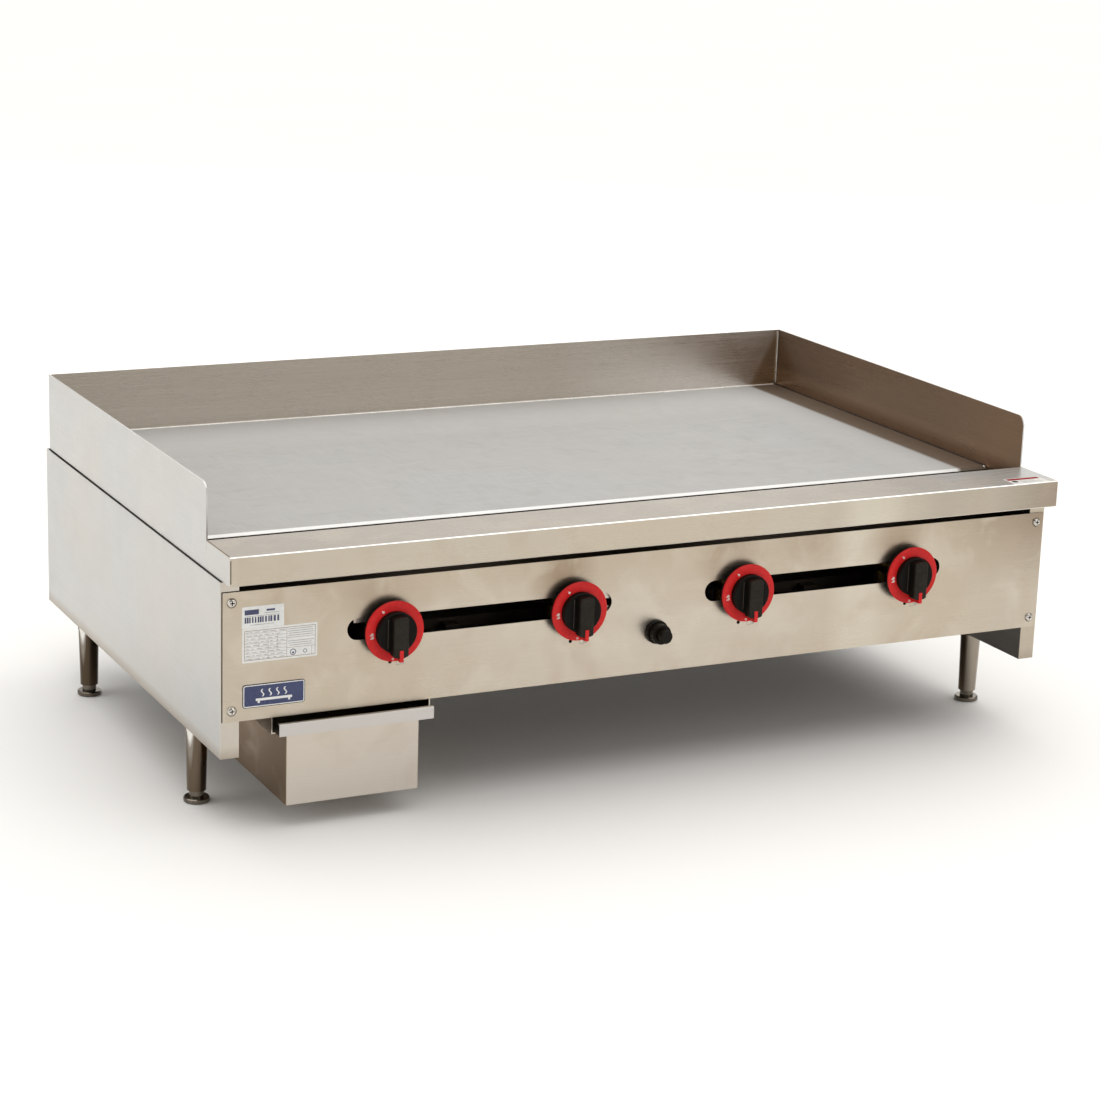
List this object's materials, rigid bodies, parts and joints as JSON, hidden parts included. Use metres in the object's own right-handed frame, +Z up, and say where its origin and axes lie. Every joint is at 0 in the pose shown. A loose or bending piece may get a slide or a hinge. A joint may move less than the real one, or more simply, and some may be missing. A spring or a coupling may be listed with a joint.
{
  "type": "flat top griddle",
  "caption": "Countertop gas griddle: flat steel plate inside splash guards, front ledge, slotted control panel with red-skirted knobs, grease drip tray and levelling legs.",
  "frame": {"origin": "on the worktop, under the middle of the griddle's footprint", "axes": "+Z up, +X to the cook's right, +Y from the cook towards the back"},
  "size_m": [1.223, 0.792, 0.4475],
  "materials": {
    "stainless_body": "fine horizontal brushed grain, satin",
    "stainless_splash": "fine brushed grain, satin, slightly heat-tinted",
    "plate_steel": "ground cooking surface, light cross grain",
    "tray_steel": "mill-finish stainless sheet",
    "inner_sheet": "dull galvanised sheet",
    "burner_steel": "aluminised steel tube",
    "pipe_black": "black malleable pipe",
    "brass": "machined brass",
    "leg_chrome": "polished nickel-chrome plate",
    "screw_steel": "bright zinc-plated",
    "knob_black": "satin black phenolic",
    "knob_red": "semi-gloss red",
    "igniter_black": "semi-gloss black",
    "badge_enamel": "blue enamel, no lettering"
  },
  "bodies": {
    "frame": {"left_side_panel": "stainless_body", "right_side_panel": "stainless_body", "front_panel": "stainless_body", "rear_panel": "inner_sheet", "floor_pan": "inner_sheet", "manifold_rail": "inner_sheet", "burner_rail": "inner_sheet", "griddle_plate": "plate_steel", "left_splash": "stainless_splash", "right_splash": "stainless_splash", "back_splash": "stainless_splash", "front_ledge": "stainless_body", "grease_trough": "stainless_splash", "tray_runners": "inner_sheet", "manifold_pipe": "pipe_black", "feed_pipe": "pipe_black", "gas_inlet": "brass", "manifold_saddles": "inner_sheet", "injectors": "brass", "pilot_screws": "brass", "pilot_assemblies": "burner_steel", "igniter_body": "igniter_black", "igniter_collar": "igniter_black", "panel_screws": "screw_steel", "badge_plate": "badge_enamel", "valve_body_left_outer": "brass", "burner_left_outer": "burner_steel", "valve_body_left_inner": "brass", "burner_left_inner": "burner_steel", "valve_body_right_inner": "brass", "burner_right_inner": "burner_steel", "valve_body_right_outer": "brass", "burner_right_outer": "burner_steel", "leg_front_left": "leg_chrome", "leg_rear_left": "leg_chrome", "leg_front_right": "leg_chrome", "leg_rear_right": "leg_chrome"},
    "valve_plug_left_outer": {"valve_plug_left_outer": "brass"},
    "knob_left_outer": {"knob_grip_left_outer": "knob_black", "knob_skirt_left_outer": "knob_red", "valve_stem_left_outer": "screw_steel"},
    "valve_plug_left_inner": {"valve_plug_left_inner": "brass"},
    "knob_left_inner": {"knob_grip_left_inner": "knob_black", "knob_skirt_left_inner": "knob_red", "valve_stem_left_inner": "screw_steel"},
    "valve_plug_right_inner": {"valve_plug_right_inner": "brass"},
    "knob_right_inner": {"knob_grip_right_inner": "knob_black", "knob_skirt_right_inner": "knob_red", "valve_stem_right_inner": "screw_steel"},
    "valve_plug_right_outer": {"valve_plug_right_outer": "brass"},
    "knob_right_outer": {"knob_grip_right_outer": "knob_black", "knob_skirt_right_outer": "knob_red", "valve_stem_right_outer": "screw_steel"},
    "foot_front_left": {"foot_front_left": "leg_chrome"},
    "foot_rear_left": {"foot_rear_left": "leg_chrome"},
    "foot_front_right": {"foot_front_right": "leg_chrome"},
    "foot_rear_right": {"foot_rear_right": "leg_chrome"},
    "drip_tray": {"drip_tray": "tray_steel", "tray_pull": "tray_steel"},
    "igniter_button": {"igniter_button": "igniter_black"}
  },
  "joints": [
    {"name": "valve_turn_left_outer", "type": "hinge", "parent": "frame", "child": "valve_plug_left_outer", "pos_m": [-0.3845, -0.357, 0.2485], "axis": [0, -1, 0], "range_deg": [0, 150]},
    {"name": "knob_push_left_outer", "type": "slide", "parent": "valve_plug_left_outer", "child": "knob_left_outer", "axis": [0, 1, 0], "range_m": [0, 0.005], "stiffness_N_per_m": 800, "springref_m": -0.003},
    {"name": "valve_turn_left_inner", "type": "hinge", "parent": "frame", "child": "valve_plug_left_inner", "pos_m": [-0.1255, -0.357, 0.2485], "axis": [0, -1, 0], "range_deg": [0, 150]},
    {"name": "knob_push_left_inner", "type": "slide", "parent": "valve_plug_left_inner", "child": "knob_left_inner", "axis": [0, 1, 0], "range_m": [0, 0.005], "stiffness_N_per_m": 800, "springref_m": -0.003},
    {"name": "valve_turn_right_inner", "type": "hinge", "parent": "frame", "child": "valve_plug_right_inner", "pos_m": [0.1255, -0.357, 0.2485], "axis": [0, -1, 0], "range_deg": [0, 150]},
    {"name": "knob_push_right_inner", "type": "slide", "parent": "valve_plug_right_inner", "child": "knob_right_inner", "axis": [0, 1, 0], "range_m": [0, 0.005], "stiffness_N_per_m": 800, "springref_m": -0.003},
    {"name": "valve_turn_right_outer", "type": "hinge", "parent": "frame", "child": "valve_plug_right_outer", "pos_m": [0.3845, -0.357, 0.2485], "axis": [0, -1, 0], "range_deg": [0, 150]},
    {"name": "knob_push_right_outer", "type": "slide", "parent": "valve_plug_right_outer", "child": "knob_right_outer", "axis": [0, 1, 0], "range_m": [0, 0.005], "stiffness_N_per_m": 800, "springref_m": -0.003},
    {"name": "foot_level_front_left", "type": "slide", "parent": "frame", "child": "foot_front_left", "axis": [0, 0, -1], "range_m": [-0.008, 0.025]},
    {"name": "foot_level_rear_left", "type": "slide", "parent": "frame", "child": "foot_rear_left", "axis": [0, 0, -1], "range_m": [-0.008, 0.025]},
    {"name": "foot_level_front_right", "type": "slide", "parent": "frame", "child": "foot_front_right", "axis": [0, 0, -1], "range_m": [-0.008, 0.025]},
    {"name": "foot_level_rear_right", "type": "slide", "parent": "frame", "child": "foot_rear_right", "axis": [0, 0, -1], "range_m": [-0.008, 0.025]},
    {"name": "tray_slide", "type": "slide", "parent": "frame", "child": "drip_tray", "axis": [0, -1, 0], "range_m": [0, 0.43]},
    {"name": "igniter_push", "type": "slide", "parent": "frame", "child": "igniter_button", "axis": [0, 1, 0], "range_m": [0, 0.006], "stiffness_N_per_m": 700, "springref_m": -0.003}
  ]
}
